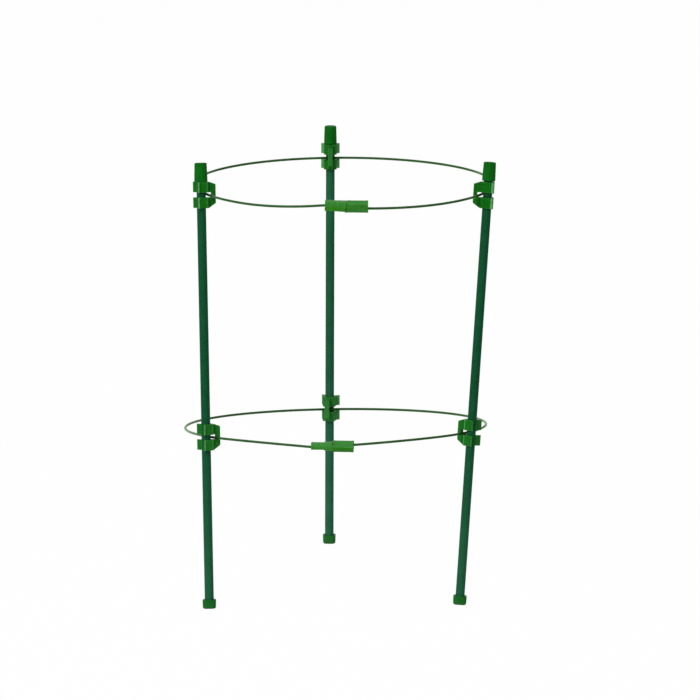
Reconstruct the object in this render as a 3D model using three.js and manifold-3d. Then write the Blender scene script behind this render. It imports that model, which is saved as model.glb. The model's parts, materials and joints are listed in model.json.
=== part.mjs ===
// Grow through plant support: three coated stakes carry two wire rings, one above the other,
// and the plant grows up through both rings. Six clips hold the rings and slide on the stakes.
// Millimetres, +Z up. The support stands on its foot caps, and its origin is on the ground
// under the middle of its bounding box. The front is towards -Y.

import * as THREE from 'three';
import { mergeVertices } from 'three/addons/utils/BufferGeometryUtils.js';
import Module from 'manifold-3d';

const wasm = await Module();
wasm.setup();

// Clearances
const FIT_GAP = 0.3;
const CUT_OVERRUN = 1;
const WELD_DISTANCE = 0.0001;

// Stakes: a steel tube inside a plastic coat, with a cap on each end
const STAKE_LENGTH = 451.4;
const STAKE_DIAMETER = 9.2;
const COAT_WALL = 0.55;
const TUBE_WALL = 0.8;
const STAKE_SIDES = 24;

const TOP_CAP_LENGTH = 18.8;
const TOP_CAP_CROWN = 2.4;
const TOP_CAP_FOOT_DIAMETER = 13.5;
const TOP_CAP_HEAD_DIAMETER = 12.5;
const TOP_CAP_EDGE = 0.7;

const FOOT_CAP_LENGTH = 8.9;
const FOOT_CAP_FLOOR = 2;
const FOOT_CAP_WIDTH = 13.5;
const FOOT_CAP_CORNER = 2.6;
const FOOT_CAP_BOTTOM_BEVEL = 1.3;
const FOOT_CAP_TOP_BEVEL = 0.6;

// Rings: stiff coated wire, closed at the front by a joiner
const WIRE_DIAMETER = 2.2;
const WIRE_SIDES = 10;
const RING_STEPS = 100;
const UPPER_RING_RADIUS = 152.5;
const LOWER_RING_RADIUS = 155.2;
const LOWER_RING_HEIGHT = 164.5;
const UPPER_RING_SHIFT_RIGHT = 8.6;
const UPPER_RING_SHIFT_BACK = 2.7;
const UPPER_RING_RISE_LEFT = 4.8;
const UPPER_RING_RISE_RIGHT = 1.45;
const LOWER_RING_RISE_LEFT = -4.1;
const LOWER_RING_RISE_RIGHT = -2.45;
const RISE_REACH_DEGREES = 44;
const PUSH_STEPS = 12;

// Joiners: a plug half with a round pin, and a socket half that takes it
const JOINER_HALF_LENGTH = 21.3;
const JOINER_WIDTH = 11.3;
const JOINER_THICKNESS = 7;
const JOINER_CORNER = 0.8;
const JOINER_BEVEL = 0.4;
const JOINER_COLLAR_LENGTH = 7.5;
const JOINER_COLLAR_THICKNESS = 9.1;
const JOINER_COLLAR_TAPER = 1.8;
const JOINER_PIN_DIAMETER = 4.4;
const JOINER_PIN_LENGTH = 7.5;
const JOINER_PLUG_OFFSET = 1.2;
const JOINER_SOCKET_OFFSET = 2.5;
const JOINER_SOCKET_TILT_DEGREES = 2.5;
const WIRE_TAIL_LENGTH = 11;
const BORE_SIDES = 16;

// Clips: two C collars that grip the stake, one web between them, and a slot for the wire
const COLLAR_HEIGHT = 10.8;
const COLLAR_SPACING = 4.9;
const COLLAR_HALF_WIDTH = 6.8;
const COLLAR_REACH = 7.1;
const COLLAR_CORNER = 3;
const COLLAR_SIDES = 24;
const MOUTH_HALF_WIDTH = 3.6;
const LIP_ROOT = 3.6;
const LIP_INNER_REACH = 6.4;
const LIP_OUTER_REACH = 5.2;
const LIP_INNER_SPREAD = 9.2;
const LIP_OUTER_SPREAD = 9.9;
const WEB_THICKNESS = 4.7;
const WEB_REACH = 14.6;
const WEB_SLOT_REACH = 10.1;
const WEB_ROOT = 6;
const WEB_CHAMFER_START = 7.6;
const WEB_TOP_CHAMFER = 2.5;
const WEB_BOTTOM_CHAMFER = 4.8;

// Where the wire runs in each clip: its play beside the stake, and its height over the lower collar
const UPPER_LEFT_PLAY = 0.55;
const UPPER_RIGHT_PLAY = 1.4;
const UPPER_BACK_PLAY = 1.3;
const LOWER_LEFT_PLAY = 1;
const LOWER_RIGHT_PLAY = 1.3;
const LOWER_BACK_PLAY = 1.3;
const UPPER_SIDE_WIRE_SEAT = 2.55;
const UPPER_BACK_WIRE_SEAT = 2.05;
const LOWER_WIRE_SEAT = 1.85;

const stakeRadius = STAKE_DIAMETER / 2;
const wireRadius = WIRE_DIAMETER / 2;
const clipHeight = 2 * COLLAR_HEIGHT + COLLAR_SPACING;

// Azimuths are in degrees, counted from +X towards +Y in the plane of each ring.
// A clip's web azimuth says where its web points, because a clip can sit turned on its stake.
const upperRing = {
  name: 'upper',
  radius: UPPER_RING_RADIUS,
  centre: new THREE.Vector3(UPPER_RING_SHIFT_RIGHT, UPPER_RING_SHIFT_BACK, STAKE_LENGTH),
  riseTowardsBack: 0.55,
  riseTowardsRight: -0.06,
  clips: {
    left: { azimuth: 205.3, webAzimuth: 15, play: UPPER_LEFT_PLAY, seat: UPPER_SIDE_WIRE_SEAT },
    right: { azimuth: 335.1, webAzimuth: 178, play: UPPER_RIGHT_PLAY, seat: UPPER_SIDE_WIRE_SEAT },
    back: { azimuth: 95.2, webAzimuth: 270, play: UPPER_BACK_PLAY, seat: UPPER_BACK_WIRE_SEAT },
  },
  joiner: {
    azimuth: 271,
    riseLeft: UPPER_RING_RISE_LEFT,
    riseRight: UPPER_RING_RISE_RIGHT,
    plugRoll: 4,
    plugOffset: 0,
    socketRoll: 32,
    socketOffset: -JOINER_SOCKET_OFFSET,
    socketTilt: JOINER_SOCKET_TILT_DEGREES,
  },
};
const lowerRing = {
  name: 'lower',
  radius: LOWER_RING_RADIUS,
  centre: new THREE.Vector3(0, 0, LOWER_RING_HEIGHT),
  riseTowardsBack: -6.1,
  riseTowardsRight: 0.73,
  clips: {
    left: { azimuth: 216.3, webAzimuth: 23, play: LOWER_LEFT_PLAY, seat: LOWER_WIRE_SEAT },
    right: { azimuth: 328.1, webAzimuth: 150, play: LOWER_RIGHT_PLAY, seat: LOWER_WIRE_SEAT },
    back: { azimuth: 92.5, webAzimuth: 257, play: LOWER_BACK_PLAY, seat: LOWER_WIRE_SEAT },
  },
  joiner: {
    azimuth: 269.1,
    riseLeft: LOWER_RING_RISE_LEFT,
    riseRight: LOWER_RING_RISE_RIGHT,
    plugRoll: 90,
    plugOffset: JOINER_PLUG_OFFSET,
    socketRoll: -58,
    socketOffset: JOINER_SOCKET_OFFSET,
    socketTilt: 0,
  },
};
const rings = [upperRing, lowerRing];
const sides = ['left', 'right', 'back'];

// Materials
const materials = {
  coat: new THREE.MeshStandardMaterial({ color: 0x2a6f57, roughness: 0.5, metalness: 0 }),
  steel: new THREE.MeshStandardMaterial({ color: 0x9b9da0, roughness: 0.45, metalness: 1 }),
  cap: new THREE.MeshStandardMaterial({ color: 0x1f8a3c, roughness: 0.45, metalness: 0 }),
  foot: new THREE.MeshStandardMaterial({ color: 0x2f8f45, roughness: 0.45, metalness: 0 }),
  clip: new THREE.MeshStandardMaterial({ color: 0x3c9a42, roughness: 0.4, metalness: 0 }),
  joiner: new THREE.MeshStandardMaterial({ color: 0x62ad52, roughness: 0.4, metalness: 0 }),
  wire: new THREE.MeshStandardMaterial({ color: 0x46523a, roughness: 0.55, metalness: 0 }),
};

// Solids
function toSolid(geometry) {
  const bare = geometry.clone();
  bare.deleteAttribute('normal');
  bare.deleteAttribute('uv');
  const welded = mergeVertices(bare, WELD_DISTANCE);
  const corners = welded.index.array;
  const kept = [];
  for (let i = 0; i < corners.length; i += 3) {
    const [a, b, c] = corners.slice(i, i + 3);
    if (a !== b && b !== c && c !== a) kept.push(a, b, c);
  }
  const mesh = new wasm.Mesh({
    numProp: 3,
    vertProperties: new Float32Array(welded.attributes.position.array),
    triVerts: new Uint32Array(kept),
  });
  mesh.merge();
  return new wasm.Manifold(mesh);
}

function toGeometry(solid) {
  const mesh = solid.getMesh();
  const geometry = new THREE.BufferGeometry();
  geometry.setAttribute('position', new THREE.BufferAttribute(mesh.vertProperties, 3));
  geometry.setIndex(new THREE.BufferAttribute(mesh.triVerts, 1));
  geometry.computeVertexNormals();
  return geometry;
}

function addPiece(parent, name, solid, material) {
  const mesh = new THREE.Mesh(toGeometry(solid), material);
  mesh.name = name;
  parent.add(mesh);
  return mesh;
}

// A solid of revolution about Z, from [radius, height] points
function turned(points, segments) {
  const profile = points.map(([radius, height]) => new THREE.Vector2(radius, height));
  const geometry = new THREE.LatheGeometry(profile, segments);
  geometry.rotateX(Math.PI / 2);
  return toSolid(geometry);
}

// A round bar along Z between two heights
function roundBar(diameter, from, to, segments) {
  const geometry = new THREE.CylinderGeometry(diameter / 2, diameter / 2, to - from, segments);
  geometry.rotateX(Math.PI / 2);
  geometry.translate(0, 0, (from + to) / 2);
  return toSolid(geometry);
}

// A box section with cut corners, of the given full width and thickness
function cutCornerSection(width, thickness, corner) {
  const x = width / 2;
  const y = thickness / 2;
  return [
    [x - corner, -y], [x, -y + corner], [x, y - corner], [x - corner, y],
    [-x + corner, y], [-x, y - corner], [-x, -y + corner], [-x + corner, -y],
  ];
}

// A solid through sections that stand one above the other on Z, all with equal point counts
function lofted(stations) {
  const count = stations[0].outline.length;
  const positions = [];
  const index = [];
  stations.forEach(({ height, outline }) => {
    outline.forEach(([x, y]) => positions.push(x, y, height));
  });
  for (let level = 0; level < stations.length - 1; level += 1) {
    for (let i = 0; i < count; i += 1) {
      const a = level * count + i;
      const b = level * count + ((i + 1) % count);
      index.push(a, b, b + count, a, b + count, a + count);
    }
  }
  const top = (stations.length - 1) * count;
  for (let i = 1; i < count - 1; i += 1) {
    index.push(0, i + 1, i);
    index.push(top, top + i, top + i + 1);
  }
  const geometry = new THREE.BufferGeometry();
  geometry.setAttribute('position', new THREE.Float32BufferAttribute(positions, 3));
  geometry.setIndex(index);
  return toSolid(geometry);
}

// Stake pieces, each standing on the stake's own Z axis with the foot at zero
const coatInnerRadius = stakeRadius - COAT_WALL;
const tubeRadius = coatInnerRadius - FIT_GAP;
const stakeFrom = FOOT_CAP_FLOOR + FIT_GAP;
const stakeTo = STAKE_LENGTH - TOP_CAP_CROWN - FIT_GAP;
const capBore = STAKE_DIAMETER + 2 * FIT_GAP;

function pipe(outerRadius, innerRadius) {
  return turned([
    [innerRadius, stakeFrom], [outerRadius, stakeFrom],
    [outerRadius, stakeTo], [innerRadius, stakeTo], [innerRadius, stakeFrom],
  ], STAKE_SIDES);
}

function topCap() {
  const base = STAKE_LENGTH - TOP_CAP_LENGTH;
  const headRadius = TOP_CAP_HEAD_DIAMETER / 2;
  const ceiling = STAKE_LENGTH - TOP_CAP_CROWN;
  return turned([
    [0, ceiling], [capBore / 2, ceiling], [capBore / 2, base],
    [TOP_CAP_FOOT_DIAMETER / 2, base], [headRadius, STAKE_LENGTH - TOP_CAP_EDGE],
    [headRadius - TOP_CAP_EDGE, STAKE_LENGTH], [0, STAKE_LENGTH],
  ], STAKE_SIDES);
}

function footSection(inset) {
  const width = FOOT_CAP_WIDTH - 2 * inset;
  return cutCornerSection(width, width, FOOT_CAP_CORNER);
}

const footSole = footSection(FOOT_CAP_BOTTOM_BEVEL);

function footCap() {
  const body = lofted([
    { height: 0, outline: footSole },
    { height: FOOT_CAP_BOTTOM_BEVEL, outline: footSection(0) },
    { height: FOOT_CAP_LENGTH - FOOT_CAP_TOP_BEVEL, outline: footSection(0) },
    { height: FOOT_CAP_LENGTH, outline: footSection(FOOT_CAP_TOP_BEVEL) },
  ]);
  const bore = roundBar(capBore, FOOT_CAP_FLOOR, FOOT_CAP_LENGTH + CUT_OVERRUN, STAKE_SIDES);
  return body.subtract(bore);
}

// A clip stands on the stake's axis. Its web points along +X and its mouth opens towards -X.
function collar(from) {
  const boreRadius = stakeRadius + FIT_GAP;
  const mouthAngle = Math.asin(MOUTH_HALF_WIDTH / boreRadius);
  const outline = new THREE.Shape();
  outline.moveTo(-boreRadius * Math.cos(mouthAngle), -MOUTH_HALF_WIDTH);
  outline.lineTo(-LIP_INNER_REACH, -LIP_INNER_SPREAD);
  outline.lineTo(-LIP_OUTER_REACH, -LIP_OUTER_SPREAD);
  outline.lineTo(-LIP_ROOT, -COLLAR_HALF_WIDTH);
  outline.lineTo(COLLAR_REACH - COLLAR_CORNER, -COLLAR_HALF_WIDTH);
  outline.lineTo(COLLAR_REACH, -COLLAR_HALF_WIDTH + COLLAR_CORNER);
  outline.lineTo(COLLAR_REACH, COLLAR_HALF_WIDTH - COLLAR_CORNER);
  outline.lineTo(COLLAR_REACH - COLLAR_CORNER, COLLAR_HALF_WIDTH);
  outline.lineTo(-LIP_ROOT, COLLAR_HALF_WIDTH);
  outline.lineTo(-LIP_OUTER_REACH, LIP_OUTER_SPREAD);
  outline.lineTo(-LIP_INNER_REACH, LIP_INNER_SPREAD);
  outline.absarc(0, 0, boreRadius, Math.PI - mouthAngle, mouthAngle - Math.PI, true);
  const options = { depth: COLLAR_HEIGHT, bevelEnabled: false, curveSegments: COLLAR_SIDES };
  const geometry = new THREE.ExtrudeGeometry(outline, options);
  geometry.translate(0, 0, from);
  return toSolid(geometry);
}

function web() {
  const slotFrom = COLLAR_HEIGHT;
  const slotTo = COLLAR_HEIGHT + COLLAR_SPACING;
  const outline = new THREE.Shape([
    [WEB_ROOT, 0], [WEB_CHAMFER_START, 0], [WEB_REACH, WEB_BOTTOM_CHAMFER],
    [WEB_REACH, clipHeight - WEB_TOP_CHAMFER], [WEB_CHAMFER_START, clipHeight],
    [WEB_ROOT, clipHeight], [WEB_ROOT, slotTo], [WEB_SLOT_REACH, slotTo],
    [WEB_SLOT_REACH, slotFrom], [WEB_ROOT, slotFrom],
  ].map(([x, y]) => new THREE.Vector2(x, y)));
  const geometry = new THREE.ExtrudeGeometry(outline, { depth: WEB_THICKNESS, bevelEnabled: false });
  geometry.rotateX(Math.PI / 2);
  geometry.translate(0, WEB_THICKNESS / 2, 0);
  return toSolid(geometry);
}

const clipSolid = collar(0).add(collar(COLLAR_HEIGHT + COLLAR_SPACING)).add(web());

// Joiner halves lie along Z, with the outer end at zero and the parting face near the half length
const wireBore = WIRE_DIAMETER + 2 * FIT_GAP;

function joinerSection(thickness, inset) {
  return cutCornerSection(JOINER_WIDTH - 2 * inset, thickness - 2 * inset, JOINER_CORNER);
}

function plugHalf(offset) {
  const parting = JOINER_HALF_LENGTH - FIT_GAP / 2;
  const collarFrom = JOINER_HALF_LENGTH - JOINER_COLLAR_LENGTH;
  const body = lofted([
    { height: 0, outline: joinerSection(JOINER_THICKNESS, JOINER_BEVEL) },
    { height: JOINER_BEVEL, outline: joinerSection(JOINER_THICKNESS, 0) },
    { height: collarFrom - JOINER_COLLAR_TAPER, outline: joinerSection(JOINER_THICKNESS, 0) },
    { height: collarFrom, outline: joinerSection(JOINER_COLLAR_THICKNESS, 0) },
    { height: parting - JOINER_BEVEL, outline: joinerSection(JOINER_COLLAR_THICKNESS, 0) },
    { height: parting, outline: joinerSection(JOINER_COLLAR_THICKNESS, JOINER_BEVEL) },
  ]);
  const pinTo = JOINER_HALF_LENGTH + JOINER_PIN_LENGTH;
  const pin = roundBar(JOINER_PIN_DIAMETER, collarFrom, pinTo, BORE_SIDES);
  const bore = roundBar(wireBore, -CUT_OVERRUN, WIRE_TAIL_LENGTH + FIT_GAP, BORE_SIDES);
  return body.add(pin).subtract(bore.translate(0, offset, 0));
}

function socketHalf(offset) {
  const parting = JOINER_HALF_LENGTH - FIT_GAP / 2;
  const body = lofted([
    { height: 0, outline: joinerSection(JOINER_THICKNESS, JOINER_BEVEL) },
    { height: JOINER_BEVEL, outline: joinerSection(JOINER_THICKNESS, 0) },
    { height: parting - JOINER_BEVEL, outline: joinerSection(JOINER_THICKNESS, 0) },
    { height: parting, outline: joinerSection(JOINER_THICKNESS, JOINER_BEVEL) },
  ]);
  const socketFrom = JOINER_HALF_LENGTH - JOINER_PIN_LENGTH - FIT_GAP;
  const socketDiameter = JOINER_PIN_DIAMETER + 2 * FIT_GAP;
  const socket = roundBar(socketDiameter, socketFrom, JOINER_HALF_LENGTH + CUT_OVERRUN, BORE_SIDES);
  const bore = roundBar(wireBore, -CUT_OVERRUN, WIRE_TAIL_LENGTH + FIT_GAP, BORE_SIDES);
  return body.subtract(socket).subtract(bore.translate(offset, 0, 0));
}

// Ring planes
function ringBasis(ring) {
  const right = Math.tan(THREE.MathUtils.degToRad(ring.riseTowardsRight));
  const back = Math.tan(THREE.MathUtils.degToRad(ring.riseTowardsBack));
  const normal = new THREE.Vector3(-right, -back, 1).normalize();
  const across = new THREE.Vector3(1, 0, right).normalize();
  const along = new THREE.Vector3().crossVectors(normal, across);
  return new THREE.Matrix4().makeBasis(across, along, normal).setPosition(ring.centre);
}

function ringPoint(radius, azimuth, rise) {
  const angle = THREE.MathUtils.degToRad(azimuth);
  return new THREE.Vector3(radius * Math.cos(angle), radius * Math.sin(angle), rise);
}

// A stake passes outside the wire of both rings, so those two places give its line
function seatOnStake(ring, side) {
  const { azimuth, play } = ring.clips[side];
  const radius = ring.radius + wireRadius + play + stakeRadius;
  return ringPoint(radius, azimuth, 0).applyMatrix4(ringBasis(ring));
}

function stakeFrame(side) {
  const low = seatOnStake(lowerRing, side);
  const high = seatOnStake(upperRing, side);
  const axis = new THREE.Vector3().subVectors(high, low).normalize();
  const across = new THREE.Vector3(1, 0, 0).addScaledVector(axis, -axis.x).normalize();
  const along = new THREE.Vector3().crossVectors(axis, across);
  const frame = new THREE.Matrix4().makeBasis(across, along, axis);
  const corners = footSole.map(([x, y]) => new THREE.Vector3(x, y, 0).applyMatrix4(frame).z);
  const footHeight = -Math.min(...corners);
  const foot = low.clone().addScaledVector(axis, (footHeight - low.z) / axis.z);
  return frame.setPosition(foot);
}

// How far up its stake, counted from the foot, a clip stands when its ring is at its height
function clipBase(ring, side) {
  const foot = new THREE.Vector3().setFromMatrixPosition(stakeFrame(side));
  return seatOnStake(ring, side).distanceTo(foot) - ring.clips[side].seat - COLLAR_HEIGHT;
}

// The upper ring is pushed up the stakes until the first of its clips meets a top cap. The lean
// of the stakes changes with the ring's height, so the height is found in a few short steps.
function pushUpToCaps(ring) {
  const highestBase = STAKE_LENGTH - TOP_CAP_LENGTH - FIT_GAP - clipHeight;
  for (let step = 0; step < PUSH_STEPS; step += 1) {
    const reached = Math.max(...sides.map((side) => clipBase(ring, side)));
    ring.centre.z += highestBase - reached;
  }
}

function placeGroup(parent, matrix) {
  const group = new THREE.Group();
  matrix.decompose(group.position, group.quaternion, group.scale);
  parent.add(group);
  return group;
}

// The wire leaves the joiner in a gentle rise or fall that has died out a few clips' widths away
function riseAt(joiner, fromJoiner, endDegrees) {
  const distance = Math.abs(fromJoiner);
  if (distance >= RISE_REACH_DEGREES) return 0;
  const share = (RISE_REACH_DEGREES - distance) / (RISE_REACH_DEGREES - endDegrees);
  return (fromJoiner < 0 ? joiner.riseLeft : joiner.riseRight) * share * share;
}

// A direction across a joiner half, turned by so many degrees from upright towards outward
function acrossJoiner(outward, degrees) {
  const angle = THREE.MathUtils.degToRad(degrees);
  const up = new THREE.Vector3(0, 0, 1);
  return up.multiplyScalar(Math.cos(angle)).addScaledVector(outward, Math.sin(angle));
}

// The joiner spans the gap of the ring from its plug end to its socket end. The wire can enter a
// half beside its middle: the plug half along its thickness, the socket half along its width. The
// socket half can tilt upwards on the pin, and is then drawn out by as much as its edge needs.
function joinerLayout(ring) {
  const { joiner } = ring;
  const endDegrees = THREE.MathUtils.radToDeg(Math.asin(JOINER_HALF_LENGTH / ring.radius));
  const left = ringPoint(ring.radius, joiner.azimuth - endDegrees, joiner.riseLeft);
  const right = ringPoint(ring.radius, joiner.azimuth + endDegrees, joiner.riseRight);
  const outward = ringPoint(1, joiner.azimuth, 0);
  const plugSide = acrossJoiner(outward, joiner.plugRoll + 90).multiplyScalar(joiner.plugOffset);
  const socketSide = acrossJoiner(outward, joiner.socketRoll).multiplyScalar(joiner.socketOffset);
  const tilt = THREE.MathUtils.degToRad(joiner.socketTilt);
  const tiltedLength = JOINER_HALF_LENGTH - JOINER_PIN_LENGTH / 2;
  const up = new THREE.Vector3(0, 0, 1);
  const plugStart = left.clone().sub(plugSide);
  const socketStart = right.clone().sub(socketSide).addScaledVector(up, -tiltedLength * Math.sin(tilt));
  const axis = new THREE.Vector3().subVectors(socketStart, plugStart).normalize();
  const middle = new THREE.Vector3().addVectors(plugStart, socketStart).divideScalar(2);
  const plugEnd = middle.clone().addScaledVector(axis, -JOINER_HALF_LENGTH);
  const socketAxis = axis.clone().multiplyScalar(Math.cos(tilt)).addScaledVector(up, Math.sin(tilt));
  const drawnOut = tiltedLength + Math.sin(tilt) * JOINER_WIDTH / 2;
  const farEnd = middle.clone().addScaledVector(axis, JOINER_PIN_LENGTH / 2)
    .addScaledVector(socketAxis.normalize(), drawnOut);
  const wireLeft = plugEnd.clone().add(plugSide);
  const wireRight = farEnd.clone().add(socketSide);
  return { endDegrees, outward, axis, socketAxis, plugEnd, farEnd, wireLeft, wireRight };
}

// A joiner half points along its Z from its outer end, with its width rolled from upright
function joinerHalfMatrix(origin, direction, outward, rollDegrees) {
  const width = acrossJoiner(outward, rollDegrees);
  width.addScaledVector(direction, -width.dot(direction)).normalize();
  const thickness = new THREE.Vector3().crossVectors(direction, width);
  return new THREE.Matrix4().makeBasis(width, thickness, direction).setPosition(origin);
}

function hoop(ring, layout) {
  const { joiner, radius } = ring;
  const first = layout.endDegrees;
  const last = 360 - layout.endDegrees;
  const socketTail = layout.wireRight.clone().addScaledVector(layout.socketAxis, -WIRE_TAIL_LENGTH);
  const plugTail = layout.wireLeft.clone().addScaledVector(layout.axis, WIRE_TAIL_LENGTH);
  const points = [socketTail, layout.wireRight];
  for (let step = 1; step < RING_STEPS; step += 1) {
    const turnedBy = first + ((last - first) * step) / RING_STEPS;
    const fromJoiner = turnedBy > 180 ? turnedBy - 360 : turnedBy;
    const rise = riseAt(joiner, fromJoiner, layout.endDegrees);
    points.push(ringPoint(radius, joiner.azimuth + turnedBy, rise));
  }
  points.push(layout.wireLeft, plugTail);
  const section = new THREE.Shape(new THREE.EllipseCurve(0, 0, wireRadius, wireRadius)
    .getPoints(WIRE_SIDES).slice(0, WIRE_SIDES));
  const path = new THREE.CatmullRomCurve3(points, false, 'centripetal');
  const options = { steps: RING_STEPS, extrudePath: path, bevelEnabled: false };
  return toSolid(new THREE.ExtrudeGeometry(section, options));
}

// Assembly
const layoutGroup = new THREE.Group();

function buildStake(side) {
  const stake = placeGroup(layoutGroup, stakeFrame(side));
  addPiece(stake, `${side}_stake_coat`, pipe(stakeRadius, coatInnerRadius), materials.coat);
  addPiece(stake, `${side}_stake_tube`, pipe(tubeRadius, tubeRadius - TUBE_WALL), materials.steel);
  addPiece(stake, `${side}_top_cap`, topCap(), materials.cap);
  addPiece(stake, `${side}_foot_cap`, footCap(), materials.foot);
  rings.forEach((ring) => {
    const clip = addPiece(stake, `${ring.name}_${side}_clip`, clipSolid, materials.clip);
    clip.position.z = clipBase(ring, side);
    clip.rotation.z = THREE.MathUtils.degToRad(ring.clips[side].webAzimuth);
  });
}

function buildRing(ring) {
  const group = placeGroup(layoutGroup, ringBasis(ring));
  const layout = joinerLayout(ring);
  const { joiner, name } = ring;
  addPiece(group, `${name}_hoop`, hoop(ring, layout), materials.wire);
  const plugMatrix = joinerHalfMatrix(layout.plugEnd, layout.axis, layout.outward, joiner.plugRoll);
  const plug = plugHalf(joiner.plugOffset);
  addPiece(placeGroup(group, plugMatrix), `${name}_joiner_plug`, plug, materials.joiner);
  const inwards = layout.socketAxis.clone().negate();
  const socketMatrix = joinerHalfMatrix(layout.farEnd, inwards, layout.outward, joiner.socketRoll);
  const socket = socketHalf(joiner.socketOffset);
  addPiece(placeGroup(group, socketMatrix), `${name}_joiner_socket`, socket, materials.joiner);
}

pushUpToCaps(upperRing);
sides.forEach(buildStake);
rings.forEach(buildRing);

const plantSupport = new THREE.Group();
plantSupport.add(layoutGroup);
plantSupport.updateMatrixWorld(true);
const bounds = new THREE.Box3().setFromObject(layoutGroup, true);
const middle = bounds.getCenter(new THREE.Vector3());
layoutGroup.position.set(-middle.x, -middle.y, -bounds.min.z);
plantSupport.updateMatrixWorld(true);

export default plantSupport;
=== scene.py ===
import json
import math

import bmesh
import bpy
from mathutils import Matrix, Vector


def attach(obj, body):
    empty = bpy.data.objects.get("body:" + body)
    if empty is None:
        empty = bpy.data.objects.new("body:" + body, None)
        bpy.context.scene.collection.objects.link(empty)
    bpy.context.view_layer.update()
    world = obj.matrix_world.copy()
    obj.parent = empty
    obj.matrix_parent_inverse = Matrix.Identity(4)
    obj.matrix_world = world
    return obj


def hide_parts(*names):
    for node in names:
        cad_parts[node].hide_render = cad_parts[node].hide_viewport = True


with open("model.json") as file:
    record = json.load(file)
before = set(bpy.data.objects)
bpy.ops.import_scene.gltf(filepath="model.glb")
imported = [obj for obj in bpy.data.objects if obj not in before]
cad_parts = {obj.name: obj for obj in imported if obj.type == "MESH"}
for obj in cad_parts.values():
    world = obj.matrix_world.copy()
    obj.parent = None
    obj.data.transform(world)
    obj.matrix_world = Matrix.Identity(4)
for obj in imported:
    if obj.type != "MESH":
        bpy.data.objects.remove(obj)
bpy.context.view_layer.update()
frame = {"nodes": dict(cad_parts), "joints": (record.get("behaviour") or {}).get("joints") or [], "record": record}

bl_info = {
    "name": "Grow Through Plant Support",
    "version": (1, 0, 0),
    "blender": (4, 5, 0),
    "location": "View3D > Sidebar > Plant Support",
    "description": "Dresses a plant support: coated stakes, caps, wire rings, clips and joiners",
    "category": "Object",
}

SIDES = ("left", "right", "back")
RINGS = ("upper", "lower")
BODY_OF = {
    node: body
    for body, nodes in frame["record"]["behaviour"]["bodies"].items()
    for node in nodes
}
ROUND = 2 * math.pi
UP = Vector((0, 0, 1))

# Levels, steps and points of the skins
COAT_LEVELS = 28
CAP_LEVELS = 22
POINTS_PER_RIB = 6
FOOT_POINTS = 64
JOINER_POINTS = 48
TAPER_STEPS = 6
TAIL_STEPS = 5
SMOOTHINGS = 3
BORE_STEPS = 40

# Small lengths in metres: the chamfers at the mouths of bores, the step up to a joiner's rim,
# and the flat in the middle of a foot cap's sole with its corner radius
CAP_LIP, FOOT_LEAD, JOINER_LEAD = 0.00025, 0.0003, 0.0006
RIM_STEP = 0.0003
SOLE_MIDDLE, SOLE_MIDDLE_CORNER = 0.004, 0.001
# Corner radii of a clip in metres: the tips and roots of its lips, then its web's corners
TIP_RADIUS, ROOT_RADIUS = 0.0004, 0.0009
SLANT_RADIUS, SHOULDER_RADIUS, SLOT_RADIUS = 0.0008, 0.0012, 0.0006
# A bore's floor starts from a small face in its middle, this share of its radius
BORE_MIDDLE = 0.05
# The grip ribs fade in over a ninth of a top cap's side, and out over a seventh
RIBS_IN, RIBS_OUT = 9, 7
# Where the loops on a foot cap's side lie between its rounded edges
FOOT_SIDE = (0.35, 0.7)
# The shallow dish in a top cap's crown: (share of the crown's radius, depth)
CROWN_DISH = ((0.62, 0), (0.58, 0.00035), (0.2, 0.00035), (0.16, 0.00035 / 3))
# Where the moulding gate's mark stands round each top cap, in radians
GATE_TURNS = {"left": -1.5, "right": 1.2, "back": 2.4}

# Painted highlights and painted shade are written on the meshes under these names
HIGHLIGHT_MARK = "Flex mark"
SHADE_MARK = "Dark mark"
# The last loops of a joiner half, where painted shade darkens the groove between the halves
PARTING_LOOPS = 8
# How strong the painted highlights are on each clip: on the flare of its lips, its web's
# outer edge, and the corners of its collars
HIGHLIGHT_STRENGTHS = {
    ("upper", "left"): (1.0, 0.01, 0.13),
    ("upper", "right"): (0.38, 0.01, 0.0),
    ("upper", "back"): (0.3, 0.03, 0.0),
    ("lower", "left"): (1.0, 0.01, 0.13),
    ("lower", "right"): (0.05, 0.01, 0.25),
    ("lower", "back"): (0.2, 0.03, 0.0),
}

# A clip's faces with painted highlights are told apart by how far their normals point
# along the web and across
FLARE_OUT, WEB_EDGE_OUT = 0.3, 0.8
CORNER_OUT, CORNER_ACROSS = (0.3, 0.6), 0.6
# The share of the painted highlight that a lip has at its root, and what its tip adds
AT_ROOT, AT_TIP = 0.7, 0.3

# Lamps: name, place and size in metres, watts, colour
LAMPS = (
    ("Key", (-1.8, -2.9, 2.9), 1.5, 93, (1, 1, 1)),
    ("Side", (-3.2, -1.35, 1.2), 1.2, 17, (0.65, 0.86, 1)),
    ("Fill", (1.9, -2.8, 1.5), 0.8, 13, (1, 1, 1)),
    ("Back", (-0.8, 2.8, 2.4), 1.6, 20, (1, 1, 1)),
)
LAMP_AIM = Vector((0, 0, 0.22))


# Settings

def length(name, description, metres):
    return bpy.props.FloatProperty(
        name=name, description=description, default=metres, precision=5,
        subtype="DISTANCE", unit="LENGTH",
    )


def angle(name, description, degrees):
    return bpy.props.FloatProperty(
        name=name, description=description, default=math.radians(degrees),
        subtype="ANGLE", unit="ROTATION",
    )


def millimetres(name, description, value):
    return bpy.props.FloatProperty(
        name=name, description=description, default=value, unit="CAMERA",
    )


def count(name, description, number):
    return bpy.props.IntProperty(name=name, description=description, default=number, min=3)


def amount(name, description, value):
    return bpy.props.FloatProperty(
        name=name, description=description, default=value, min=0, subtype="FACTOR",
    )


def colour(name, description, rgb):
    return bpy.props.FloatVectorProperty(
        name=name, description=description, default=rgb, size=3, min=0, max=1, subtype="COLOR",
    )


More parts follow.
